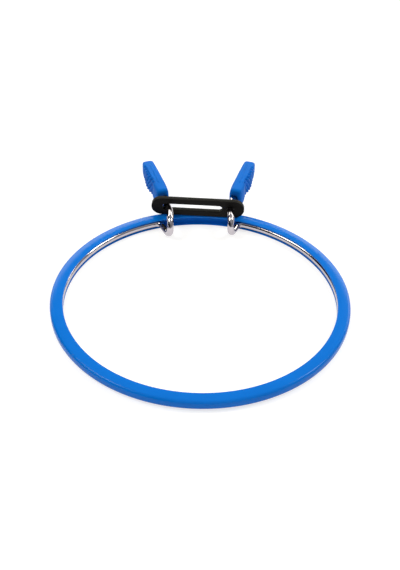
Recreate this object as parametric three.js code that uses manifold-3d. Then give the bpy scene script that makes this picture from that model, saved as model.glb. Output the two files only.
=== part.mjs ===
// Spring-tension embroidery hoop, about 5 inches across.
// A moulded plastic ring has a groove round its inner wall, and a sprung steel wire ring snaps into it
// over the cloth. Squeezing the two ribbed grips shortens the wire ring, so that it lifts out again.
// Millimetres, +Z up. The hoop lies flat on z = 0 with its grips towards +Y, and the origin is the
// middle of its footprint.

import * as THREE from 'three';
import { mergeVertices } from 'three/addons/utils/BufferGeometryUtils.js';
import Module from 'manifold-3d';

// Outer ring
const ringOuterDiameter = 137;
const ringWidth = 5.9;
const ringHeight = 5.1;
const ringInnerEdgeDrop = 0.35;
const ringOuterEdgeDrop = 0.15;
const ringCrestInset = 3.9;
const ringTopRounding = 2.4;
const ringFootRounding = 2.3;
const lipRounding = 0.3;
const upperLipThickness = 0.45;
const ringFacets = 120;
const ringCurveSteps = 5;

// Spring wire
const wireDiameter = 3.3;
const grooveClearance = 0.3;
const wireInnerFlush = 0.05;
const arcEndAngle = 20;
const cornerBendRadius = 3;
const leftEndReach = 50.15;
const leftBendAt = 59;
const leftBendRadius = 30;
const rightLegOffset = 15.15;
const rightEndReach = 51.5;
const rightBendAt = 63.9;
const rightBendRadius = 6;
const topLegAboveRing = 5.3;
const gripAngle = 16;
const wireFlexGap = 0.5;
const springTurn = 1.2;
const wireSides = 12;
const arcSteps = 34;
const bendSteps = 6;
const gripBendSteps = 4;

// Guide plate
const plateLength = 45.7;
const plateHeight = 9.55;
const plateThickness = 2.4;
const plateHoleInset = 6.8;
const plateHoleDiameter = 4.1;
const slotHeight = 3.9;
const slotToHole = 1.8;
const slotToEnd = 4.35;
const slotEndToLeg = 5.1;
const plateAt = 62.6;
const plateSag = 0.2;
const plateLean = 3.5;
const plateTilt = 0.5;
const plateTurn = 3.4;
const plateCurveSteps = 14;

// Grips
const gripLength = 30.8;
const gripHeight = 11.6;
const gripInnerReach = 2.85;
const gripOuterReach = 5.6;
const leftGripStart = 70.2;
const rightGripStart = 70.6;
const boreDepth = 16.5;
const boreClearance = 0.3;
const boreEndGap = 0.5;
const boreSides = 16;
const gripInnerPower = 3.2;
const gripOuterPower = 2.2;
const gripSectionPoints = 24;
const gripSections = 22;
const ribCount = 8;
const ribPitch = 2.45;
const firstRib = 7.2;
const ribGrooveRadius = 0.8;
const ribGrooveDepth = 0.45;
const ribCutterLength = 16;
const ribCutterSides = 8;

// Sizes that follow from the ones above
const radians = THREE.MathUtils.degToRad;
const ringOuterRadius = ringOuterDiameter / 2;
const ringInnerRadius = ringOuterRadius - ringWidth;
const wireRadius = wireDiameter / 2;
const grooveRadius = wireRadius + grooveClearance;
const wireRingRadius = ringInnerRadius + wireRadius - wireInnerFlush;
const wireRingHeight = ringHeight - ringInnerEdgeDrop - upperLipThickness - grooveRadius;
const topLegHeight = ringHeight + topLegAboveRing;
// The slot ends short of the plate's end, and the left leg stands clear of the slot's end
const slotReach = plateLength - plateHoleInset - slotToEnd;
const slotLength = slotReach - plateHoleDiameter / 2 - slotToHole;
const leftLegOffset = slotReach - slotEndToLeg - rightLegOffset;
const leftEnd = {
  side: -1, legOffset: leftLegOffset, reach: leftEndReach, bendAt: leftBendAt,
  bendRadius: leftBendRadius, gripStart: leftGripStart,
};
const rightEnd = {
  side: 1, legOffset: rightLegOffset, reach: rightEndReach, bendAt: rightBendAt,
  bendRadius: rightBendRadius, gripStart: rightGripStart,
};

const plastic = new THREE.MeshStandardMaterial({ color: '#1b70d4', roughness: 0.42, metalness: 0 });
const gripPlastic = new THREE.MeshStandardMaterial({ color: '#2468cc', roughness: 0.5, metalness: 0 });
const chrome = new THREE.MeshStandardMaterial({ color: '#c9c6cc', roughness: 0.12, metalness: 1 });
const blackPlastic = new THREE.MeshStandardMaterial({ color: '#211e1f', roughness: 0.45, metalness: 0 });

const wasm = await Module();
wasm.setup();

// A closed geometry as a solid that can be joined and cut
function solidOf(geometry) {
  const bare = geometry.clone();
  bare.deleteAttribute('normal');
  bare.deleteAttribute('uv');
  const merged = mergeVertices(bare, 1e-4);
  const vertProperties = new Float32Array(merged.attributes.position.array);
  const triVerts = new Uint32Array(merged.index.array);
  return new wasm.Manifold(new wasm.Mesh({ numProp: 3, vertProperties, triVerts }));
}

function geometryOf(solid) {
  const mesh = solid.getMesh();
  const geometry = new THREE.BufferGeometry();
  geometry.setAttribute('position', new THREE.BufferAttribute(mesh.vertProperties, 3));
  geometry.setIndex(new THREE.BufferAttribute(mesh.triVerts, 1));
  geometry.computeVertexNormals();
  return geometry;
}

// The ring's section, revolved: flat foot, well rounded outer side, a top that falls away from a soft
// crest, and the groove between two thin lips on the inner wall, which follows the wire with its clearance.
function outerRing() {
  const crest = ringOuterRadius - ringCrestInset;
  const innerEdge = ringHeight - ringInnerEdgeDrop;
  const outerEdge = ringHeight - ringOuterEdgeDrop;
  const section = new THREE.Path();
  section.moveTo(ringInnerRadius + lipRounding, 0);
  section.lineTo(ringOuterRadius - ringFootRounding, 0);
  section.quadraticCurveTo(ringOuterRadius, 0, ringOuterRadius, ringFootRounding);
  section.lineTo(ringOuterRadius, outerEdge - ringTopRounding);
  section.quadraticCurveTo(ringOuterRadius, outerEdge, ringOuterRadius - ringTopRounding, outerEdge);
  section.lineTo(crest, ringHeight);
  section.lineTo(ringInnerRadius + lipRounding, innerEdge);
  section.lineTo(ringInnerRadius, innerEdge - lipRounding);
  section.lineTo(ringInnerRadius, wireRingHeight + grooveRadius);
  section.absarc(wireRingRadius, wireRingHeight, grooveRadius, Math.PI / 2, -Math.PI / 2, true);
  section.lineTo(ringInnerRadius, wireRingHeight - grooveRadius);
  section.lineTo(ringInnerRadius, lipRounding);
  section.lineTo(ringInnerRadius + lipRounding, 0);
  const geometry = new THREE.LatheGeometry(section.getPoints(ringCurveSteps), ringFacets);
  geometry.rotateX(Math.PI / 2);
  return geometry;
}

// The stretch of wire that lies in the groove, from the front of the hoop to one of its ends
class GrooveArc extends THREE.Curve {
  constructor(side, fromAngle, toAngle) {
    super();
    Object.assign(this, { side, fromAngle, toAngle });
  }

  getPoint(t, target = new THREE.Vector3()) {
    const angle = radians(THREE.MathUtils.lerp(this.fromAngle, this.toAngle, t));
    const across = this.side * wireRingRadius * Math.sin(angle);
    return target.set(across, wireRingRadius * Math.cos(angle), wireRingHeight);
  }
}

// A round bend of the wire at a corner, between the direction it comes in and the one it leaves
class Bend extends THREE.Curve {
  constructor(corner, incoming, outgoing, radius) {
    super();
    const turn = incoming.angleTo(outgoing);
    const reach = radius * Math.tan(turn / 2);
    const start = corner.clone().addScaledVector(incoming, -reach);
    const end = corner.clone().addScaledVector(outgoing, reach);
    const inward = outgoing.clone().addScaledVector(incoming, -incoming.dot(outgoing)).normalize();
    const centre = start.clone().addScaledVector(inward, radius);
    Object.assign(this, { incoming, inward, radius, turn, reach, start, end, centre });
  }

  getPoint(t, target = new THREE.Vector3()) {
    target.copy(this.centre);
    target.addScaledVector(this.inward, -this.radius * Math.cos(this.turn * t));
    return target.addScaledVector(this.incoming, this.radius * Math.sin(this.turn * t));
  }
}

// Arcs, bends and straight legs in a row, each with its own number of steps
class BentWire extends THREE.Curve {
  constructor(stretches) {
    super();
    this.stretches = stretches;
    this.steps = stretches.reduce((sum, stretch) => sum + stretch.steps, 0);
  }

  getPoint(t, target = new THREE.Vector3()) {
    let place = t * this.steps;
    const last = this.stretches.at(-1);
    for (const { curve, steps } of this.stretches) {
      if (place <= steps) return curve.getPoint(place / steps, target);
      place -= steps;
    }
    return last.curve.getPoint(1, target);
  }

  getPointAt(t, target) {
    return this.getPoint(t, target);
  }

  getTangentAt(t, target) {
    return this.getTangent(t, target);
  }
}

const directionBetween = (from, to) => to.clone().sub(from).normalize();
const gripDirection = (side) => {
  return new THREE.Vector3(side * Math.sin(radians(gripAngle)), Math.cos(radians(gripAngle)), 0);
};

// Where the straight top leg would turn towards the grip
const gripCorner = (end) => new THREE.Vector3(end.side * end.legOffset, end.bendAt, topLegHeight);

// The middle of a grip's near face, on the wire
function gripBase(end) {
  const along = (end.gripStart - end.bendAt) / Math.cos(radians(gripAngle));
  return gripCorner(end).addScaledVector(gripDirection(end.side), along);
}

// One half of the spring wire: out of the groove, in towards the cloth, up and back over the ring in a
// U, through the guide plate and out along the grip. The two ends aren't bent quite alike.
function springWire(end) {
  const { side } = end;
  const frontAngle = 180 - THREE.MathUtils.radToDeg(wireFlexGap / 2 / wireRingRadius);
  const arc = new GrooveArc(side, frontAngle, arcEndAngle);
  const arcEnd = arc.getPoint(1);
  const angle = radians(arcEndAngle);
  const alongArc = new THREE.Vector3(-side * Math.cos(angle), Math.sin(angle), 0);
  const lowTurn = new THREE.Vector3(side * end.legOffset, end.reach, wireRingHeight);
  const topTurn = lowTurn.clone().setZ(topLegHeight);
  const up = new THREE.Vector3(0, 0, 1);
  const back = new THREE.Vector3(0, 1, 0);

  // The corner lies on the groove's tangent, and the leg's direction depends on where it comes
  let inwards = directionBetween(arcEnd, lowTurn);
  let corner = arcEnd.clone();
  for (let pass = 0; pass < 6; pass++) {
    const reach = cornerBendRadius * Math.tan(alongArc.angleTo(inwards) / 2);
    corner = arcEnd.clone().addScaledVector(alongArc, reach);
    inwards = directionBetween(corner, lowTurn);
  }

  const turnRadius = (topLegHeight - wireRingHeight) / 2;
  const outOfGroove = new Bend(corner, alongArc, inwards, cornerBendRadius);
  const upwards = new Bend(lowTurn, inwards, up, turnRadius);
  const backwards = new Bend(topTurn, up, back, turnRadius);
  const toGrip = new Bend(gripCorner(end), back, gripDirection(side), end.bendRadius);
  const wireEnd = gripBase(end).addScaledVector(gripDirection(side), boreDepth - boreEndGap);
  const path = new BentWire([
    { curve: arc, steps: arcSteps },
    { curve: outOfGroove, steps: bendSteps },
    { curve: new THREE.LineCurve3(outOfGroove.end, upwards.start), steps: 1 },
    { curve: upwards, steps: bendSteps },
    { curve: backwards, steps: bendSteps },
    { curve: new THREE.LineCurve3(backwards.end, toGrip.start), steps: 1 },
    { curve: toGrip, steps: gripBendSteps },
    { curve: new THREE.LineCurve3(toGrip.end, wireEnd), steps: 1 },
  ]);

  const round = [];
  for (let i = 0; i < wireSides; i++) {
    const turn = (i / wireSides) * 2 * Math.PI;
    round.push(new THREE.Vector2(wireRadius * Math.cos(turn), wireRadius * Math.sin(turn)));
  }
  const settings = { steps: path.steps, bevelEnabled: false, extrudePath: path };
  return new THREE.ExtrudeGeometry(new THREE.Shape(round), settings);
}

// A slot with round ends along x, traced as a closed outline
function roundEnded(outline, left, right, radius) {
  outline.absarc(right - radius, 0, radius, -Math.PI / 2, Math.PI / 2, false);
  outline.absarc(left + radius, 0, radius, Math.PI / 2, 3 * Math.PI / 2, false);
  outline.closePath();
  return outline;
}

// A flat bar with round ends. Its round hole rides on the right wire, and the left wire runs along its
// slot when the grips are squeezed. The middle of the hole is the geometry's origin.
function guidePlate() {
  const holeRadius = plateHoleDiameter / 2;
  const right = plateHoleInset;
  const left = right - plateLength;
  const bar = roundEnded(new THREE.Shape(), left, right, plateHeight / 2);
  const slotRight = -holeRadius - slotToHole;
  const slot = roundEnded(new THREE.Path(), slotRight - slotLength, slotRight, slotHeight / 2);
  const hole = new THREE.Path().absarc(0, 0, holeRadius, 0, 2 * Math.PI);
  bar.holes.push(slot, hole);
  const settings = { depth: plateThickness, bevelEnabled: false, curveSegments: plateCurveSteps };
  const geometry = new THREE.ExtrudeGeometry(bar, settings);
  geometry.translate(0, 0, -plateThickness / 2);
  geometry.rotateX(Math.PI / 2);
  return geometry;
}

// The grip's form along its length. Each row is a share of the length, then shares of its reach from the
// wire towards the other grip, of its reach on the ribbed side and of its half height. The ribbed side steps
// out where the finger's pad begins.
const gripRows = [
  [0, 0.81, 0.46, 0.71],
  [0.04, 0.91, 0.57, 0.81],
  [0.2, 1, 0.54, 0.94],
  [0.27, 0.98, 0.63, 0.97],
  [0.325, 0.96, 0.77, 0.99],
  [0.375, 0.95, 0.91, 1],
  [0.425, 0.94, 1, 0.99],
  [0.53, 0.91, 1, 0.96],
  [0.77, 0.86, 0.86, 0.82],
  [0.93, 0.82, 0.72, 0.67],
  [0.975, 0.76, 0.66, 0.58],
  [1, 0.6, 0.5, 0.46],
];
const gripLengthwise = new THREE.SplineCurve(gripRows.map((row) => new THREE.Vector2(row[0], row[1])));
const gripOutwards = new THREE.SplineCurve(gripRows.map((row) => new THREE.Vector2(row[2], row[3])));

// The grip's section: full corners on its inner side, and a rounder flank on the ribbed side
function gripSection(t) {
  const { x: share, y: innerShare } = gripLengthwise.getPoint(t);
  const { x: outerShare, y: heightShare } = gripOutwards.getPoint(t);
  const inner = innerShare * gripInnerReach;
  const outer = outerShare * gripOuterReach;
  const half = heightShare * gripHeight / 2;
  const points = [];
  for (let i = 0; i < gripSectionPoints; i++) {
    const turn = (i / gripSectionPoints) * 2 * Math.PI;
    const ribbedSide = Math.cos(turn) > 0;
    const power = 2 / (ribbedSide ? gripOuterPower : gripInnerPower);
    const x = Math.sign(Math.cos(turn)) * Math.abs(Math.cos(turn)) ** power;
    const z = Math.sign(Math.sin(turn)) * Math.abs(Math.sin(turn)) ** power;
    points.push(new THREE.Vector3(x * (ribbedSide ? outer : inner), share * gripLength, z * half));
  }
  return points;
}

// Sections joined side by side, and closed at both ends
function loft(sections) {
  const ring = sections[0].length;
  const vertices = sections.flat();
  const triangles = [];
  for (let row = 0; row + 1 < sections.length; row++) {
    for (let i = 0; i < ring; i++) {
      const a = row * ring + i;
      const b = row * ring + (i + 1) % ring;
      triangles.push(a, b + ring, b, a, a + ring, b + ring);
    }
  }
  const far = (sections.length - 1) * ring;
  for (let i = 1; i + 1 < ring; i++) {
    triangles.push(0, i, i + 1, far, far + i + 1, far + i);
  }
  const geometry = new THREE.BufferGeometry().setFromPoints(vertices);
  geometry.setIndex(triangles);
  return geometry;
}

// A moulded grip along +Y from the middle of its near face, with the wire's bore and the grooves that
// leave ribs standing on its outer side.
function grip(side) {
  const sections = [];
  for (let i = 0; i <= gripSections; i++) sections.push(gripSection(i / gripSections));
  let body = solidOf(loft(sections));

  const bore = new THREE.CylinderGeometry(wireRadius + boreClearance, wireRadius + boreClearance,
    2 * boreDepth, boreSides);
  body = body.subtract(solidOf(bore));

  for (let i = 0; i < ribCount; i++) {
    const along = firstRib + i * ribPitch;
    const edge = outerEdgeAt(along / gripLength);
    const cutter = new THREE.CylinderGeometry(ribGrooveRadius, ribGrooveRadius, ribCutterLength,
      ribCutterSides);
    cutter.rotateX(Math.PI / 2);
    cutter.translate(edge + ribGrooveRadius - ribGrooveDepth, along, 0);
    body = body.subtract(solidOf(cutter));
  }
  if (side < 0) body = body.mirror([1, 0, 0]);
  return geometryOf(body);
}

// The outer side's distance from the wire at a share of the grip's length
function outerEdgeAt(share) {
  let t = share;
  for (let pass = 0; pass < 40; pass++) t += (share - gripLengthwise.getPoint(t).x) / 2;
  return gripOutwards.getPoint(t).x * gripOuterReach;
}

function named(name, geometry, material) {
  const mesh = new THREE.Mesh(geometry, material);
  mesh.name = name;
  return mesh;
}

const hoop = new THREE.Group();
hoop.add(named('outer_ring', outerRing(), plastic));

const spring = new THREE.Group();
spring.rotation.z = radians(springTurn);
hoop.add(spring);
for (const [word, end] of [['left', leftEnd], ['right', rightEnd]]) {
  spring.add(named(`spring_wire_${word}`, springWire(end), chrome));
  const handle = named(`grip_${word}`, grip(end.side), gripPlastic);
  handle.position.copy(gripBase(end));
  handle.rotation.z = -end.side * radians(gripAngle);
  spring.add(handle);
}

// The plate hangs by its hole on the right wire, leans towards the cloth and rests against the left wire
const plate = named('guide_plate', guidePlate(), blackPlastic);
plate.position.set(rightLegOffset, plateAt, topLegHeight - plateSag);
plate.rotation.set(radians(plateLean), radians(plateTilt), -radians(plateTurn), 'ZYX');
spring.add(plate);

// Set the middle of the footprint on the origin
const part = new THREE.Group();
part.add(hoop);
const bounds = new THREE.Box3().setFromObject(hoop, true);
hoop.position.y = -(bounds.min.y + bounds.max.y) / 2;
hoop.position.x = -(bounds.min.x + bounds.max.x) / 2;

export default part;
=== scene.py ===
# Spring-tension embroidery hoop, about 5 inches across, lying on a white table.
# Metres, +Z up, grips towards +Y. Sizes in the sections are millimetres, turned to metres by MM.

import math

import bpy
import numpy as np
from mathutils import Matrix, Vector


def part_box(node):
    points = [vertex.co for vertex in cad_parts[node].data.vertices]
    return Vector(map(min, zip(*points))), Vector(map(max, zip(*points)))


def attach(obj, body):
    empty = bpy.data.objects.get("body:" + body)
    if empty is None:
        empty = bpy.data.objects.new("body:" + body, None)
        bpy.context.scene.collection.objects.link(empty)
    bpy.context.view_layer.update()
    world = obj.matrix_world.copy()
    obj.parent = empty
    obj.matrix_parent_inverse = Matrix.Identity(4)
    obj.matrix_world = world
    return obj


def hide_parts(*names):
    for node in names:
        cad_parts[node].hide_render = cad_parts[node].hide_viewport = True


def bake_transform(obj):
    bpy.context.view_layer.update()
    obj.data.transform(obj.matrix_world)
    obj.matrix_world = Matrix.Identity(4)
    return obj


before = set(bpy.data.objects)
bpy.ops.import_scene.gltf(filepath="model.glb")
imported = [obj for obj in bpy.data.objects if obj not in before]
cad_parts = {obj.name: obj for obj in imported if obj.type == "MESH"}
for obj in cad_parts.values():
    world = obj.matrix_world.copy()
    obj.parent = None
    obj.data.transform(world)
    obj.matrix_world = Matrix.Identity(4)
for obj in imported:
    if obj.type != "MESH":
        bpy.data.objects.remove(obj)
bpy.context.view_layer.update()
scene = bpy.context.scene


# Outer ring
# One injection moulding in blue ABS: a well rounded outer side, a top that falls away from a soft crest,
# and a groove round the inner wall between two thin lips, into which the spring wire snaps over the cloth.
MM = 0.001
ring_outer_diameter = 137.0
ring_width = 5.9
ring_height = 5.1
ring_inner_edge_drop = 0.1
ring_outer_edge_drop = 0.3
ring_crest_inset = 3.4
ring_top_rounding = 1.4
ring_foot_rounding = 2.1
ring_lip_rounding = 0.3
ring_crest_rounding = 20.0
ring_groove_edge_rounding = 0.15
groove_radius = 1.95
groove_centre_radius = 64.2
groove_height = 2.35
groove_steps = 18
ring_facets = 400
ring_flow_size = 11.11
ring_polish_size = 0.4545
pattern_relief = 0.2
plastic_ior = 1.53
ring_gloss = 0.12
ring_roughness = (0.1, 0.16)
ring_blue = "#076fd5"
ring_blue_deep = "#0567c9"


def linear(hex_colour):
    """An sRGB hex colour as linear red, green, blue and alpha."""
    parts = [int(hex_colour[i:i + 2], 16) / 255 for i in (1, 3, 5)]
    return [p / 12.92 if p <= 0.04045 else ((p + 0.055) / 1.055) ** 2.4 for p in parts] + [1.0]


def add_node(tree, kind, inputs=None, **settings):
    """Adds a node. inputs gives a socket, by name or number, its value or the output that feeds it."""
    node = tree.nodes.new(kind)
    for name, value in settings.items():
        setattr(node, name, value)
    for key, value in (inputs or {}).items():
        if isinstance(value, bpy.types.NodeSocket):
            tree.links.new(value, node.inputs[key])
        else:
            node.inputs[key].default_value = value
    return node


def new_material(name):
    """An empty material, its node tree and its output node."""
    material = bpy.data.materials.new(name)
    material.use_nodes = True
    tree = material.node_tree
    tree.nodes.clear()
    return material, tree, add_node(tree, "ShaderNodeOutputMaterial")


def rounded_corner(corner, before, after, radius, steps=10):
    """Points of an arc that rounds a corner of an outline."""
    corner, before, after = (np.array(p, float) for p in (corner, before, after))
    u = (before - corner) / np.linalg.norm(before - corner)
    v = (after - corner) / np.linalg.norm(after - corner)
    half = math.acos(np.clip(u @ v, -1, 1)) / 2
    start = corner + u * radius / math.tan(half)
    end = corner + v * radius / math.tan(half)
    centre = corner + (u + v) / np.linalg.norm(u + v) * radius / math.sin(half)
    a, b = start - centre, end - centre
    sweep = math.pi - 2 * half
    shares = [i / steps for i in range(steps + 1)]
    return [centre + (a * math.sin((1 - s) * sweep) + b * math.sin(s * sweep)) / math.sin(sweep)
            for s in shares]


def ring_section():
    """The ring's section as radius and height, anticlockwise from the foot's inner corner."""
    outer = ring_outer_diameter / 2
    inner = outer - ring_width
    upper_lip = groove_height + groove_radius
    lower_lip = groove_height - groove_radius
    corners = [
        ((inner, 0), ring_lip_rounding),
        ((outer, 0), ring_foot_rounding),
        ((outer, ring_height - ring_outer_edge_drop), ring_top_rounding),
        ((outer - ring_crest_inset, ring_height), ring_crest_rounding),
        ((inner, ring_height - ring_inner_edge_drop), ring_lip_rounding),
        ((inner, upper_lip), ring_groove_edge_rounding),
        ((groove_centre_radius, upper_lip), 0),
        ((groove_centre_radius, lower_lip), 0),
        ((inner, lower_lip), ring_groove_edge_rounding),
    ]
    points = []
    for i, (corner, radius) in enumerate(corners):
        before = corners[i - 1][0]
        after = corners[(i + 1) % len(corners)][0]
        if radius:
            points += rounded_corner(corner, before, after, radius)
        elif corner[1] == upper_lip:
            for turn in np.linspace(math.pi / 2, -math.pi / 2, groove_steps + 1):
                points.append((groove_centre_radius + groove_radius * math.cos(turn),
                               groove_height + groove_radius * math.sin(turn)))
    return points


def new_tree(name, sizes):
    """A Geometry Nodes tree with named size inputs, its group input and its group output."""
    tree = bpy.data.node_groups.new(name, "GeometryNodeTree")
    tree.interface.new_socket("Geometry", in_out="OUTPUT", socket_type="NodeSocketGeometry")
    tree.interface.new_socket("Geometry", in_out="INPUT", socket_type="NodeSocketGeometry")
    for size, kind in sizes.items():
        tree.interface.new_socket(size, in_out="INPUT", socket_type=kind)
    return tree, add_node(tree, "NodeGroupInput"), add_node(tree, "NodeGroupOutput")


def end_tree(tree, geometry, material, result):
    """Ends a Geometry Nodes tree with smooth shading, real geometry and the piece's material."""
    smooth = add_node(tree, "GeometryNodeSetShadeSmooth", {"Geometry": geometry})
    real = add_node(tree, "GeometryNodeRealizeInstances", {"Geometry": smooth.outputs["Geometry"]})
    dressed = add_node(tree, "GeometryNodeSetMaterial",
                       {"Geometry": real.outputs["Geometry"], "Material": material})
    tree.links.new(dressed.outputs["Geometry"], result.inputs["Geometry"])


def made_by(tree, source, name, values):
    """Runs a Geometry Nodes tree on an object and returns its result as a plain mesh object."""
    modifier = source.modifiers.new(name, "NODES")
    modifier.node_group = tree
    for socket in tree.interface.items_tree:
        if socket.name in values:
            modifier[socket.identifier] = values[socket.name]
    bpy.context.view_layer.update()
    evaluated = source.evaluated_get(bpy.context.evaluated_depsgraph_get())
    mesh = bpy.data.meshes.new_from_object(evaluated)
    bpy.data.objects.remove(source)
    made = bpy.data.objects.new(name, mesh)
    scene.collection.objects.link(made)
    return made


def add_spline(curve, points, cyclic):
    """Adds a line through points, in metres, to a curve."""
    spline = curve.splines.new("POLY")
    spline.points.add(len(points) - 1)
    for point, place in zip(spline.points, points):
        point.co = (*place, 1)
    spline.use_cyclic_u = cyclic


def line_object(name, points, cyclic=False):
    """A curve object with one line through points, in metres."""
    curve = bpy.data.curves.new(name, "CURVE")
    curve.dimensions = "3D"
    add_spline(curve, points, cyclic)
    source = bpy.data.objects.new(name, curve)
    scene.collection.objects.link(source)
    return source


# ABS, injection moulded in a polished tool. It gives one deep blue all through, with smooth broad highlights.
ring_plastic, tree, output = new_material("blue_moulded_abs")
place = add_node(tree, "ShaderNodeTexCoord").outputs["Object"]
# Flow and shrinkage leave the moulded face very slightly uneven over a centimetre or so
flow = add_node(tree, "ShaderNodeTexNoise",
                {"Vector": place, "Scale": 1 / (ring_flow_size * MM), "Detail": 2.0})
# The tool's fine polish, drawn coarser than it is, at about half a millimetre
polish = add_node(tree, "ShaderNodeTexNoise",
                  {"Vector": place, "Scale": 1 / (ring_polish_size * MM), "Detail": 3.0})
shade = add_node(tree, "ShaderNodeMix", {
    "Factor": flow.outputs["Fac"], "A": linear(ring_blue_deep), "B": linear(ring_blue)}, data_type="RGBA")
rough = add_node(tree, "ShaderNodeMapRange", {
    "Value": flow.outputs["Fac"], "To Min": ring_roughness[0], "To Max": ring_roughness[1]})
bump = add_node(tree, "ShaderNodeBump",
                {"Height": polish.outputs["Fac"], "Strength": 0.06, "Distance": pattern_relief * MM})
abs_shader = add_node(tree, "ShaderNodeBsdfPrincipled", {
    "Base Color": shade.outputs["Result"], "Roughness": rough.outputs["Result"], "IOR": plastic_ior,
    "Specular IOR Level": ring_gloss, "Normal": bump.outputs["Normal"]})
tree.links.new(abs_shader.outputs["BSDF"], output.inputs["Surface"])

tree, given, result = new_tree("turn_section_round_ring",
                               {"Centre radius": "NodeSocketFloat", "Facets": "NodeSocketInt"})
circle = add_node(tree, "GeometryNodeCurvePrimitiveCircle",
                  {"Radius": given.outputs["Centre radius"], "Resolution": given.outputs["Facets"]})
swept = add_node(tree, "GeometryNodeCurveToMesh",
                 {"Curve": circle.outputs["Curve"], "Profile Curve": given.outputs["Geometry"]})
end_tree(tree, swept.outputs["Mesh"], ring_plastic, result)

section = [((radius - groove_centre_radius) * MM, -height * MM, 0)
           for radius, height in reversed(ring_section())]
hoop_ring = made_by(tree, line_object("ring_section", section, cyclic=True), "hoop_ring",
                    {"Centre radius": groove_centre_radius * MM, "Facets": ring_facets})
low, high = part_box("outer_ring")
ring_centre = Vector(((low.x + high.x) / 2, (low.y + high.y) / 2, 0))
hoop_ring.data.transform(Matrix.Translation(ring_centre))
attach(hoop_ring, "outer_ring")
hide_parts("outer_ring")


# Spring wire
# One length of plated spring steel, cold bent: nearly a full circle in the groove, then two legs that come
# in over the lip, turn up and back over the ring in a U and lean out into the grips. Its front flexes.
# -1 stands for the left half of the wire and 1 for the right one, because their bends aren't quite alike
wire_diameter = 3.3
wire_ring_radius = groove_centre_radius
wire_height = 2.1
wire_arc_steps = 180
arc_end_angle = 20.0
corner_bend_radius = 3.0
leg_offset = {-1: 14.3, 1: 15.15}
end_reach = {-1: 50.15, 1: 51.5}
top_leg_height = 10.4
grip_bend_at = {-1: 59.0, 1: 63.9}
grip_bend_radius = {-1: 30.0, 1: 6.0}
grip_angle = 16.0
grip_start = {-1: 70.2, 1: 70.6}
wire_in_grip = 16.0
spring_turn = 1.2
wire_sides = 32
drawing_line_spacing = 0.2357
drawing_line_length = 3.571
chrome_roughness = (0.07, 0.16)
chrome_colour = "#c0bac1"

turned_ring = Matrix.Translation(ring_centre) @ Matrix.Rotation(math.radians(spring_turn), 4, "Z")
spring_frame = turned_ring @ Matrix.Scale(MM, 4)


def bend(corner, incoming, outgoing, radius, steps=16):
    """Points of a round bend at a corner between two unit directions."""
    turn = incoming.angle(outgoing)
    inward = (outgoing - incoming * incoming.dot(outgoing)).normalized()
    start = corner - incoming * radius * math.tan(turn / 2)
    centre = start + inward * radius
    angles = [turn * i / steps for i in range(steps + 1)]
    return [centre - inward * radius * math.cos(a) + incoming * radius * math.sin(a) for a in angles]


def grip_direction(side):
    """The way in which a grip points, leaning outwards."""
    angle = math.radians(grip_angle)
    return Vector((side * math.sin(angle), math.cos(angle), 0))


def grip_base(side):
    """The middle of a grip's near face, on the wire."""
    corner = Vector((side * leg_offset[side], grip_bend_at[side], top_leg_height))
    along = (grip_start[side] - grip_bend_at[side]) / math.cos(math.radians(grip_angle))
    return corner + grip_direction(side) * along


def wire_path(side):
    """Half of the wire's centre line, from the middle of the front to the end inside the grip."""
    points = []
    for angle in np.radians(np.linspace(180, arc_end_angle, wire_arc_steps + 1)):
        across, ahead = side * wire_ring_radius * math.sin(angle), wire_ring_radius * math.cos(angle)
        points.append(Vector((across, ahead, wire_height)))
    arc_end = points[-1]
    along = Vector((-side * math.cos(angle), math.sin(angle), 0))
    low_turn = Vector((side * leg_offset[side], end_reach[side], wire_height))
    top_turn = Vector((side * leg_offset[side], end_reach[side], top_leg_height))
    inwards = (low_turn - arc_end).normalized()
    # The bend's corner and the leg's direction depend on each other and settle in a few rounds
    for _ in range(6):
        corner = arc_end + along * corner_bend_radius * math.tan(along.angle(inwards) / 2)
        inwards = (low_turn - corner).normalized()
    up, back = Vector((0, 0, 1)), Vector((0, 1, 0))
    end_radius = (top_leg_height - wire_height) / 2
    points += bend(corner, along, inwards, corner_bend_radius)[1:]
    points += bend(low_turn, inwards, up, end_radius)
    points += bend(top_turn, up, back, end_radius)[1:]
    grip_corner = Vector((side * leg_offset[side], grip_bend_at[side], top_leg_height))
    points += bend(grip_corner, back, grip_direction(side), grip_bend_radius[side])
    points.append(grip_base(side) + grip_direction(side) * wire_in_grip)
    return [spring_frame @ p for p in points]


# Drawn spring steel, bright plated. It mirrors the room and the blue ring in thin light and dark streaks.
plated_steel, tree, output = new_material("plated_spring_steel")
# Drawing leaves faint lines along the wire, about 0.2 mm apart, that the plating only half hides
lines_scale = wire_diameter / 2 / drawing_line_spacing
lines_stretch = 1 / (drawing_line_length * MM * lines_scale)
along = add_node(tree, "ShaderNodeAttribute", attribute_name="along").outputs["Fac"]
around = add_node(tree, "ShaderNodeAttribute", attribute_name="around").outputs["Fac"]
turn = add_node(tree, "ShaderNodeMath", {0: around, 1: math.tau}, operation="MULTIPLY").outputs[0]
across = add_node(tree, "ShaderNodeMath", {0: turn}, operation="COSINE").outputs[0]
upright = add_node(tree, "ShaderNodeMath", {0: turn}, operation="SINE").outputs[0]
stretched = add_node(tree, "ShaderNodeMath", {0: along, 1: lines_stretch}, operation="MULTIPLY").outputs[0]
lines_at = add_node(tree, "ShaderNodeCombineXYZ",
                    {"X": across, "Y": upright, "Z": stretched}).outputs["Vector"]
lines = add_node(tree, "ShaderNodeTexNoise", {"Vector": lines_at, "Scale": lines_scale, "Detail": 4.0})
rough = add_node(tree, "ShaderNodeMapRange", {
    "Value": lines.outputs["Fac"], "To Min": chrome_roughness[0], "To Max": chrome_roughness[1]})
bump = add_node(tree, "ShaderNodeBump",
                {"Height": lines.outputs["Fac"], "Strength": 0.08, "Distance": pattern_relief * MM})
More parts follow.
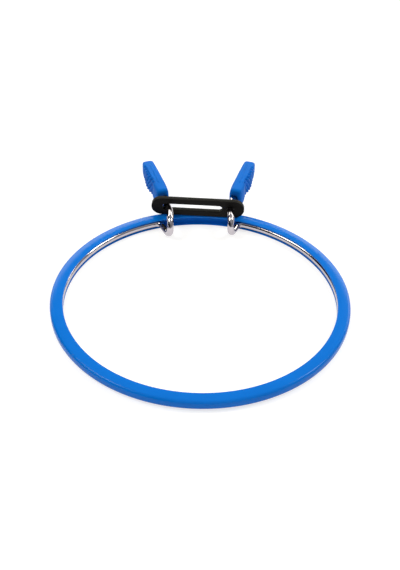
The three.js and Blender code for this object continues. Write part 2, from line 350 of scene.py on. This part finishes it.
steel_shader = add_node(tree, "ShaderNodeBsdfPrincipled", {
    "Base Color": linear(chrome_colour), "Metallic": 1.0, "Roughness": rough.outputs["Result"],
    "Normal": bump.outputs["Normal"]})
tree.links.new(steel_shader.outputs["BSDF"], output.inputs["Surface"])

tree, given, result = new_tree("draw_wire_along_path",
                               {"Diameter": "NodeSocketFloat", "Sides": "NodeSocketInt"})
length = add_node(tree, "GeometryNodeSplineParameter").outputs["Length"]
path = add_node(tree, "GeometryNodeStoreNamedAttribute",
                {"Geometry": given.outputs["Geometry"], "Name": "along", "Value": length},
                data_type="FLOAT", domain="POINT")
radius = add_node(tree, "ShaderNodeMath", {0: given.outputs["Diameter"], 1: 0.5},
                  operation="MULTIPLY").outputs[0]
circle = add_node(tree, "GeometryNodeCurvePrimitiveCircle",
                  {"Radius": radius, "Resolution": given.outputs["Sides"]})
share = add_node(tree, "GeometryNodeSplineParameter").outputs["Factor"]
profile = add_node(tree, "GeometryNodeStoreNamedAttribute",
                   {"Geometry": circle.outputs["Curve"], "Name": "around", "Value": share},
                   data_type="FLOAT", domain="POINT")
swept = add_node(tree, "GeometryNodeCurveToMesh", {
    "Curve": path.outputs["Geometry"], "Profile Curve": profile.outputs["Geometry"], "Fill Caps": True})
end_tree(tree, swept.outputs["Mesh"], plated_steel, result)

for word, side in (("left", -1), ("right", 1)):
    wire = made_by(tree, line_object(f"wire_path_{word}", wire_path(side)), f"sprung_wire_{word}",
                   {"Diameter": wire_diameter * MM, "Sides": wire_sides})
    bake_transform(wire)
    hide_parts(f"spring_wire_{word}")


# Grips
# Two mirrored ABS mouldings, pushed onto the wire's ends. The top and bottom are smooth with a soft ridge.
# A fine groove parts them from the outer flank, whose ribs keep the finger from slipping.
grip_length = 30.8
grip_inner_power = 3.0
grip_outer_power = 6.0
grip_corner_share = 0.85
grip_corner_limit = 3.5
grip_near_rounding = 1.4
grip_near_power = 2.0
grip_near_steps = 8
grip_tip_rounding = 2.2
grip_tip_power = 2.3
grip_tip_steps = 14
grip_middle_steps = 189
grip_side_rounding = 0.8
grip_around = 160
typical_section = (2.6, 4.2, 5.2)
bore_radius = 1.95
bore_shown = 5.0
parting_groove_width = 1.0
parting_groove_depth = 0.7
ridge_at = 0.9
ridge_width = 1.2
ridge_height = 0.3
rib_pitch = 2.45
rib_height = 1.0
rib_slant = 0.7
rib_roundness = 0.6
first_rib = 6.8
first_rib_fade = 1.0
last_rib = 25.6
last_rib_fade = 2.0
flank_fade = 0.4
grip_flow_size = 6.25
grip_grain_size = 0.303
grip_gloss = 0.04
grip_roughness = 0.5
grip_blue = "#086ace"
grip_blue_deep = "#0661c0"
# How far the grip reaches at distances along it: towards the other grip, on the ribbed side, and upwards
inner_edge = [(0, 2.4), (1.3, 2.6), (3, 2.75), (6.9, 2.85), (11.2, 2.7), (17.2, 2.55), (23.7, 2.45),
              (29, 2.4), (30.8, 2.35)]
outer_edge = [(0, 3.4), (1.3, 3.65), (4, 4.0), (9, 3.8), (11.4, 3.8), (13, 4.15), (15, 4.6), (17, 4.8),
              (19.4, 4.7), (22, 4.4), (25.8, 4.05), (28, 3.8), (30.8, 3.55)]
half_height = [(0, 5.3), (1.3, 5.3), (6.9, 5.35), (10.6, 5.4), (16.2, 5.3), (23.7, 4.7), (29, 3.8),
               (30.8, 3.4)]


def along_grip(edge, place):
    """A smooth curve through an edge's points, read at a distance along the grip."""
    xs, ys = np.array(edge, float).T
    slopes = np.gradient(ys, xs)
    i = int(np.clip(np.searchsorted(xs, place) - 1, 0, len(xs) - 2))
    width = xs[i + 1] - xs[i]
    t = (place - xs[i]) / width
    return ((2 * t ** 3 - 3 * t ** 2 + 1) * ys[i] + (t ** 3 - 2 * t ** 2 + t) * width * slopes[i]
            + (3 * t ** 2 - 2 * t ** 3) * ys[i + 1] + (t ** 3 - t ** 2) * width * slopes[i + 1])


def inset(distance, radius, power):
    """How far a rounded end draws the sides in, at a distance from its flat."""
    if distance >= radius:
        return 0.0
    return radius - radius * (1 - (1 - distance / radius) ** power) ** (1 / power)


def grip_stations():
    """Distances along the grip, closer together at its rounded ends."""
    near_turns = math.pi / 2 * np.arange(grip_near_steps) / grip_near_steps
    tip_turns = math.pi / 2 * np.arange(grip_tip_steps + 1) / grip_tip_steps
    near = grip_near_rounding * (1 - np.cos(near_turns))
    tip = grip_length - grip_tip_rounding * (1 - np.sin(tip_turns))
    middle = np.linspace(grip_near_rounding, tip[0], grip_middle_steps + 1)[:-1]
    return [*near, *middle, *tip]


def grip_outline(turns, inner, outer, half):
    """The grip's section: a full inner side and a square outer flank, as widths and heights."""
    cosine, sine = np.cos(turns), np.sin(turns)
    power = np.where(cosine > 0, 2 / grip_outer_power, 2 / grip_inner_power)
    x = np.sign(cosine) * np.abs(cosine) ** power * np.where(cosine > 0, outer, inner)
    return x, np.sign(sine) * np.abs(sine) ** power * half


def even_turns(count):
    """Turns that place points at even distances round a typical section."""
    dense = np.linspace(0, math.tau, 50 * count + 1)
    x, z = grip_outline(dense, *typical_section)
    walked = np.concatenate([[0], np.cumsum(np.hypot(np.diff(x), np.diff(z)))])
    return np.interp(np.linspace(0, walked[-1], count + 1)[:-1], walked, dense)


def grip_mesh(name):
    """The grip's smooth form along +Y. past_corner tells how far a point is past the top's outer corner."""
    turns = even_turns(grip_around)
    corners = []
    rows = [[(0, bore_shown, 0)]]
    for place in (bore_shown, 0):
        rows.append([(bore_radius * math.cos(t), place, bore_radius * math.sin(t)) for t in turns])
    for place in grip_stations():
        drawn_in = (inset(place, grip_near_rounding, grip_near_power)
                    + inset(grip_length - place, grip_tip_rounding, grip_tip_power))
        inner = along_grip(inner_edge, place) - drawn_in * grip_side_rounding
        outer = along_grip(outer_edge, place) - drawn_in * grip_side_rounding
        half = along_grip(half_height, place) - drawn_in
        corners.append(min(grip_corner_share * outer, grip_corner_limit))
        rows.append([(x, place, z) for x, z in zip(*grip_outline(turns, inner, outer, half))])
    rows.append([(0, grip_length, 0)])
    vertices = [p for row in rows for p in row]
    tip = len(vertices) - 1
    faces = []
    for i in range(grip_around):
        j = (i + 1) % grip_around
        faces.append((0, 1 + i, 1 + j))
        faces.append((tip, tip - grip_around + j, tip - grip_around + i))
        for a in range(1, tip - grip_around, grip_around):
            faces.append((a + i, a + grip_around + i, a + grip_around + j, a + j))
    mesh = bpy.data.meshes.new(name)
    mesh.from_pydata(vertices, [], faces)
    corners = [corners[0]] * 3 + corners + [corners[-1]]
    past = mesh.attributes.new("past_corner", "FLOAT", "POINT")
    past.data.foreach_set("value", [(p[0] - c) * MM for row, c in zip(rows, corners) for p in row])
    return mesh


# ABS again, moulded in a spark-eroded tool. It gives the same blue with a dull face and hardly a highlight.
grip_plastic, tree, output = new_material("blue_grip_abs")
place = add_node(tree, "ShaderNodeTexCoord").outputs["Object"]
flow = add_node(tree, "ShaderNodeTexNoise",
                {"Vector": place, "Scale": 1 / (grip_flow_size * MM), "Detail": 2.0})
# The tool's eroded grain, drawn coarser than it is, at about 0.3 mm
grain = add_node(tree, "ShaderNodeTexNoise",
                 {"Vector": place, "Scale": 1 / (grip_grain_size * MM), "Detail": 3.0})
shade = add_node(tree, "ShaderNodeMix", {
    "Factor": flow.outputs["Fac"], "A": linear(grip_blue_deep), "B": linear(grip_blue)}, data_type="RGBA")
bump = add_node(tree, "ShaderNodeBump",
                {"Height": grain.outputs["Fac"], "Strength": 0.12, "Distance": pattern_relief * MM})
grip_shader = add_node(tree, "ShaderNodeBsdfPrincipled", {
    "Base Color": shade.outputs["Result"], "Roughness": grip_roughness, "IOR": plastic_ior,
    "Specular IOR Level": grip_gloss, "Normal": bump.outputs["Normal"]})
tree.links.new(grip_shader.outputs["BSDF"], output.inputs["Surface"])

rib_sizes = {
    "Rib pitch": rib_pitch * MM, "Rib height": rib_height * MM, "Rib slant": rib_slant,
    "First rib": first_rib * MM, "Last rib": last_rib * MM, "Groove width": parting_groove_width * MM,
    "Groove depth": parting_groove_depth * MM, "Ridge at": ridge_at * MM, "Ridge width": ridge_width * MM,
    "Ridge height": ridge_height * MM}
tree, given, result = new_tree("raise_ribs_on_flank", dict.fromkeys(rib_sizes, "NodeSocketFloat"))
spot = add_node(tree, "ShaderNodeSeparateXYZ", {0: add_node(tree, "GeometryNodeInputPosition").outputs[0]})
x, y = spot.outputs["X"], spot.outputs["Y"]

# Slanting waves along the grip, with round crests and sharper valleys
slanted = add_node(tree, "ShaderNodeMath", {0: spot.outputs["Z"], 1: given.outputs["Rib slant"], 2: y},
                   operation="MULTIPLY_ADD").outputs[0]
waves = add_node(tree, "ShaderNodeMath", {0: slanted, 1: given.outputs["Rib pitch"]},
                 operation="DIVIDE").outputs[0]
waves = add_node(tree, "ShaderNodeMath", {0: waves, 1: math.pi}, operation="MULTIPLY").outputs[0]
waves = add_node(tree, "ShaderNodeMath", {0: waves}, operation="SINE").outputs[0]
waves = add_node(tree, "ShaderNodeMath", {0: waves}, operation="ABSOLUTE").outputs[0]
waves = add_node(tree, "ShaderNodeMath", {0: waves, 1: rib_roundness}, operation="POWER").outputs[0]

# They run from the first rib to the last one, and only on the flank
past_corner = add_node(tree, "GeometryNodeInputNamedAttribute", {"Name": "past_corner"},
                       data_type="FLOAT").outputs["Attribute"]
flank = add_node(tree, "ShaderNodeMapRange",
                 {"Value": past_corner, "From Min": 0.0, "From Max": flank_fade * MM},
                 interpolation_type="SMOOTHSTEP").outputs["Result"]
after_first = add_node(tree, "ShaderNodeMath", {0: y, 1: given.outputs["First rib"]},
                       operation="SUBTRACT").outputs[0]
begins = add_node(tree, "ShaderNodeMapRange",
                  {"Value": after_first, "From Min": 0.0, "From Max": first_rib_fade * MM},
                  interpolation_type="SMOOTHSTEP").outputs["Result"]
before_last = add_node(tree, "ShaderNodeMath", {0: given.outputs["Last rib"], 1: y},
                       operation="SUBTRACT").outputs[0]
ends = add_node(tree, "ShaderNodeMapRange",
                {"Value": before_last, "From Min": 0.0, "From Max": last_rib_fade * MM},
                interpolation_type="SMOOTHSTEP").outputs["Result"]
inside = add_node(tree, "ShaderNodeMath", {0: begins, 1: ends}, operation="MULTIPLY").outputs[0]
ribbed = add_node(tree, "ShaderNodeMath", {0: inside, 1: flank}, operation="MULTIPLY").outputs[0]
valleys = add_node(tree, "ShaderNodeMath", {0: waves, 1: 1.0}, operation="SUBTRACT").outputs[0]
ribs = add_node(tree, "ShaderNodeMath", {0: valleys, 1: given.outputs["Rib height"]},
                operation="MULTIPLY").outputs[0]
ribs = add_node(tree, "ShaderNodeMath", {0: ribs, 1: ribbed}, operation="MULTIPLY").outputs[0]


def band(tree, value, middle, width):
    """1 on a line at middle, fading to 0 half a width to each side."""
    off = add_node(tree, "ShaderNodeMath", {0: value, 1: middle}, operation="SUBTRACT").outputs[0]
    off = add_node(tree, "ShaderNodeMath", {0: off}, operation="ABSOLUTE").outputs[0]
    half = add_node(tree, "ShaderNodeMath", {0: width, 1: 0.5}, operation="MULTIPLY").outputs[0]
    near = add_node(tree, "ShaderNodeMath", {0: off, 1: half}, operation="DIVIDE").outputs[0]
    return add_node(tree, "ShaderNodeMapRange", {"Value": near, "From Min": 1.0, "From Max": 0.0},
                    interpolation_type="SMOOTHSTEP").outputs["Result"]


groove = band(tree, past_corner, 0.0, given.outputs["Groove width"])
groove = add_node(tree, "ShaderNodeMath", {0: groove, 1: given.outputs["Groove depth"]},
                  operation="MULTIPLY").outputs[0]
groove = add_node(tree, "ShaderNodeMath", {0: groove, 1: inside}, operation="MULTIPLY").outputs[0]
ridge = band(tree, x, given.outputs["Ridge at"], given.outputs["Ridge width"])
ridge = add_node(tree, "ShaderNodeMath", {0: ridge, 1: given.outputs["Ridge height"]},
                 operation="MULTIPLY").outputs[0]
ridge = add_node(tree, "ShaderNodeMath", {0: ridge, 1: inside}, operation="MULTIPLY").outputs[0]
raised = add_node(tree, "ShaderNodeMath", {0: ribs, 1: groove}, operation="SUBTRACT").outputs[0]
raised = add_node(tree, "ShaderNodeMath", {0: raised, 1: ridge}, operation="ADD").outputs[0]
normal = add_node(tree, "GeometryNodeInputNormal").outputs[0]
push = add_node(tree, "ShaderNodeVectorMath", {0: normal, "Scale": raised},
                operation="SCALE").outputs["Vector"]
shaped = add_node(tree, "GeometryNodeSetPosition", {"Geometry": given.outputs["Geometry"], "Offset": push})
end_tree(tree, shaped.outputs["Geometry"], grip_plastic, result)

for word, side in (("left", -1), ("right", 1)):
    blank = bpy.data.objects.new("grip_blank", grip_mesh("grip_blank"))
    blank.data.transform(Matrix.Scale(MM, 4))
    scene.collection.objects.link(blank)
    grip = made_by(tree, blank, f"ribbed_grip_{word}", rib_sizes)
    if side < 0:
        grip.data.transform(Matrix.Scale(-1, 4, (1, 0, 0)))
        grip.data.flip_normals()
    leaning = Matrix.Rotation(-side * math.radians(grip_angle), 4, "Z")
    onto_wire = spring_frame @ Matrix.Translation(grip_base(side)) @ leaning @ Matrix.Scale(1 / MM, 4)
    grip.data.transform(onto_wire)
    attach(grip, f"spring_{word}")
    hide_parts(f"grip_{word}")


# Guide plate
# A bar punched from black nylon sheet and tumbled, so that its edges are just broken. It hangs on the right
# wire, which stands in its round hole, and the left wire runs in its slot.
plate_length = 45.7
plate_height = 9.55
plate_thickness = 2.5
plate_hole_inset = 6.8
plate_hole_diameter = 3.7
slot_height = 3.7
slot_length = 29.8
slot_to_hole = 2.0
plate_sag = 0.2
plate_lean = 3.5
plate_tilt = 0.5
plate_turn = 3.4
plate_at = 62.6
plate_edge_rounding = 0.22
plate_edge_steps = 3
hole_steps = 40
plate_tooth_size = 0.25
plate_scuff_size = (8.333, 1.667, 1.111)
plate_gloss = 0.08
plate_roughness = (0.38, 0.55)
plate_black = "#0b0a0a"
plate_worn = "#151312"


def round_ended(left, right, radius, steps=28):
    """The outline of a bar or slot with round ends, lying along x."""
    turns = np.linspace(-math.pi / 2, math.pi / 2, steps + 1)
    ends = [(right - radius + radius * math.cos(t), radius * math.sin(t)) for t in turns]
    return ends + [(left + radius - radius * math.cos(t), -radius * math.sin(t)) for t in turns]


# Black nylon sheet, tumbled after punching. It gives a near black with a broad dull sheen and faint scuffs.
nylon, tree, output = new_material("black_nylon")
place = add_node(tree, "ShaderNodeTexCoord").outputs["Object"]
# The matte tooth of the tumbling, drawn coarser than it is, at 0.25 mm
tooth = add_node(tree, "ShaderNodeTexNoise",
                 {"Vector": place, "Scale": 1 / (plate_tooth_size * MM), "Detail": 3.0})
# Scuffs of about a millimetre by 8 mm, along the plate
scuffed_at = add_node(tree, "ShaderNodeMapping",
                      {"Vector": place, "Scale": [1 / (size * MM) for size in plate_scuff_size]})
scuffs = add_node(tree, "ShaderNodeTexNoise",
                  {"Vector": scuffed_at.outputs["Vector"], "Scale": 1.0, "Detail": 5.0})
shade = add_node(tree, "ShaderNodeMix", {
    "Factor": scuffs.outputs["Fac"], "A": linear(plate_black), "B": linear(plate_worn)}, data_type="RGBA")
rough = add_node(tree, "ShaderNodeMapRange", {
    "Value": scuffs.outputs["Fac"], "To Min": plate_roughness[0], "To Max": plate_roughness[1]})
bump = add_node(tree, "ShaderNodeBump",
                {"Height": tooth.outputs["Fac"], "Strength": 0.15, "Distance": pattern_relief * MM})
nylon_shader = add_node(tree, "ShaderNodeBsdfPrincipled", {
    "Base Color": shade.outputs["Result"], "Roughness": rough.outputs["Result"], "IOR": plastic_ior,
    "Specular IOR Level": plate_gloss, "Normal": bump.outputs["Normal"]})
tree.links.new(nylon_shader.outputs["BSDF"], output.inputs["Surface"])

plate_curve = bpy.data.curves.new("plate_outline", "CURVE")
plate_curve.dimensions = "2D"
plate_curve.fill_mode = "BOTH"
plate_curve.extrude = (plate_thickness / 2 - plate_edge_rounding) * MM
plate_curve.bevel_depth = plate_edge_rounding * MM
plate_curve.bevel_resolution = plate_edge_steps
plate_curve.offset = -plate_edge_rounding * MM
hole_radius = plate_hole_diameter / 2
hole_turns = np.linspace(0, math.tau, hole_steps + 1)[:-1]
slot_right = -hole_radius - slot_to_hole
for loop in (round_ended(plate_hole_inset - plate_length, plate_hole_inset, plate_height / 2),
             round_ended(slot_right - slot_length, slot_right, slot_height / 2),
             [(hole_radius * math.cos(t), hole_radius * math.sin(t)) for t in hole_turns]):
    add_spline(plate_curve, [(x * MM, y * MM, 0) for x, y in loop], cyclic=True)
flat = bpy.data.objects.new("plate_outline", plate_curve)
scene.collection.objects.link(flat)
bpy.context.view_layer.update()
plate_mesh = bpy.data.meshes.new_from_object(flat.evaluated_get(bpy.context.evaluated_depsgraph_get()))
bpy.data.objects.remove(flat)
plate_mesh.materials.clear()
plate_mesh.materials.append(nylon)
guide_plate = bpy.data.objects.new("slotted_guide_plate", plate_mesh)
scene.collection.objects.link(guide_plate)
hole_at = Vector((leg_offset[1], plate_at, top_leg_height - plate_sag))
standing = Matrix.Rotation(math.radians(90 + plate_lean), 4, "X")
tilted = Matrix.Rotation(math.radians(plate_tilt), 4, "Y")
turned = Matrix.Rotation(-math.radians(plate_turn), 4, "Z")
onto_wire = spring_frame @ Matrix.Translation(hole_at) @ turned @ tilted @ standing @ Matrix.Scale(1 / MM, 4)
guide_plate.data.transform(onto_wire)
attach(guide_plate, "guide_plate")
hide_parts("guide_plate")


# Table and light
# A white table that runs out of the picture, in a room that is dark to the left and grey to the right. Soft
# lamps stand behind, to both sides and in front. The front one only fills shadows: steel doesn't mirror it.
table_reach = 4000.0
table_drop = 0.2
table_white = "#e9e7ea"
table_dimmed = "#b3b2b5"
table_glow = 0.66
lamp_white = "#fffded"
room_strength = 0.9
room_blend = 0.3
# Heights, from the horizon at 0 to straight up at 1, and the room's grey there
room_dark_left = ((0.0, 0.02), (0.6, 0.02), (0.7, 0.35), (0.95, 0.5), (1.0, 0.4))
room_grey_right = ((0.0, 0.35), (0.5, 0.3), (0.6, 0.5), (0.95, 0.5), (1.0, 0.4))
camera_elevation = 39.93
camera_distance = 570.0
camera_roll = 1.2
camera_lens = 78.43
camera_shift = (-0.0004, 0.0362)

# White laminate. What the camera or a mirror sees of it glows to a clean white and still takes the shadow.
table_material, tree, output = new_material("white_laminate")
light_path = add_node(tree, "ShaderNodeLightPath")
seen = add_node(tree, "ShaderNodeMath", {
    0: light_path.outputs["Is Camera Ray"], 1: light_path.outputs["Is Glossy Ray"]},
    operation="MAXIMUM").outputs[0]
seen = add_node(tree, "ShaderNodeMath", {0: seen, 1: light_path.outputs["Is Transmission Ray"]},
                operation="MAXIMUM").outputs[0]
plain = add_node(tree, "ShaderNodeBsdfDiffuse", {"Color": linear(table_white)})
dimmed = add_node(tree, "ShaderNodeBsdfDiffuse", {"Color": linear(table_dimmed)})
glow = add_node(tree, "ShaderNodeEmission", {"Color": (1, 1, 1, 1), "Strength": table_glow})
lit = add_node(tree, "ShaderNodeAddShader", {0: dimmed.outputs["BSDF"], 1: glow.outputs["Emission"]})
mixed = add_node(tree, "ShaderNodeMixShader", {0: seen, 1: plain.outputs["BSDF"], 2: lit.outputs["Shader"]})
tree.links.new(mixed.outputs["Shader"], output.inputs["Surface"])
table_mesh = bpy.data.meshes.new("white_table")
table_corners = [(x * table_reach * MM, y * table_reach * MM, -table_drop * MM)
                 for x, y in ((-1, -1), (1, -1), (1, 1), (-1, 1))]
table_mesh.from_pydata(table_corners, [], [(0, 1, 2, 3)])
table_mesh.materials.append(table_material)
table = bpy.data.objects.new("white_table", table_mesh)
scene.collection.objects.link(table)

world = bpy.data.worlds.new("soft_dome")
scene.world = world
world.use_nodes = True
tree = world.node_tree
tree.nodes.clear()
output = add_node(tree, "ShaderNodeOutputWorld")
looked_at = add_node(tree, "ShaderNodeTexCoord").outputs["Generated"]
direction = add_node(tree, "ShaderNodeSeparateXYZ", {0: looked_at})
sides = []
for levels in (room_dark_left, room_grey_right):
    ramp = add_node(tree, "ShaderNodeValToRGB", {"Fac": direction.outputs["Z"]})
    for height, _ in levels[1:-1]:
        ramp.color_ramp.elements.new(height)
    for element, (_, grey) in zip(ramp.color_ramp.elements, levels):
        element.color = (grey, grey, grey, 1)
    sides.append(ramp.outputs["Color"])
to_right = add_node(tree, "ShaderNodeMapRange",
                    {"Value": direction.outputs["X"], "From Min": -room_blend, "From Max": room_blend})
dome = add_node(tree, "ShaderNodeMix",
                {"Factor": to_right.outputs["Result"], "A": sides[0], "B": sides[1]}, data_type="RGBA")
sky = add_node(tree, "ShaderNodeBackground", {"Color": dome.outputs["Result"], "Strength": room_strength})
tree.links.new(sky.outputs["Background"], output.inputs["Surface"])

# Name, place and aim in metres, width, height, watts, and whether the steel mirrors it
for name, place, aim, width, height, watts, mirrored in (
        ("back_left_panel", (-0.3, 0.9, 0.42), (0, 0, 0), 0.8, 0.4, 4.0, True),
        ("back_right_panel", (0.5, 0.8, 0.42), (0, 0, 0), 0.8, 0.4, 4.2, True),
        ("left_softbox", (-0.45, 0.0, 0.58), (0, -0.02, 0), 0.35, 0.35, 2.6, True),
        ("right_softbox", (0.48, 0.1, 0.55), (0, -0.02, 0), 0.2, 0.25, 1.9, True),
        ("front_softbox", (-0.05, -0.7, 0.35), (0, -0.02, 0), 0.6, 0.4, 1.5, False)):
    lamp_data = bpy.data.lights.new(name, "AREA")
    lamp_data.shape = "RECTANGLE"
    lamp_data.size = width
    lamp_data.size_y = height
    lamp_data.energy = watts
    lamp_data.color = linear(lamp_white)[:3]
    lamp = bpy.data.objects.new(name, lamp_data)
    lamp.visible_glossy = mirrored
    lamp.location = place
    lamp.rotation_euler = (Vector(aim) - Vector(place)).to_track_quat("-Z", "Y").to_euler()
    scene.collection.objects.link(lamp)

camera_data = bpy.data.cameras.new("camera")
camera_data.lens = camera_lens
camera_data.sensor_width = 36.0
camera_data.shift_x, camera_data.shift_y = camera_shift
camera_data.clip_start = 0.01
camera = bpy.data.objects.new("camera", camera_data)
elevation = math.radians(camera_elevation)
away = Vector((0, -math.cos(elevation), math.sin(elevation))) * camera_distance * MM
looking = (-away).to_track_quat("-Z", "Y").to_matrix().to_4x4()
rolled = Matrix.Rotation(math.radians(camera_roll), 4, "Z")
camera.matrix_world = Matrix.Translation(ring_centre + away) @ looking @ rolled
scene.collection.objects.link(camera)
scene.camera = camera
scene.view_settings.view_transform = "Standard"
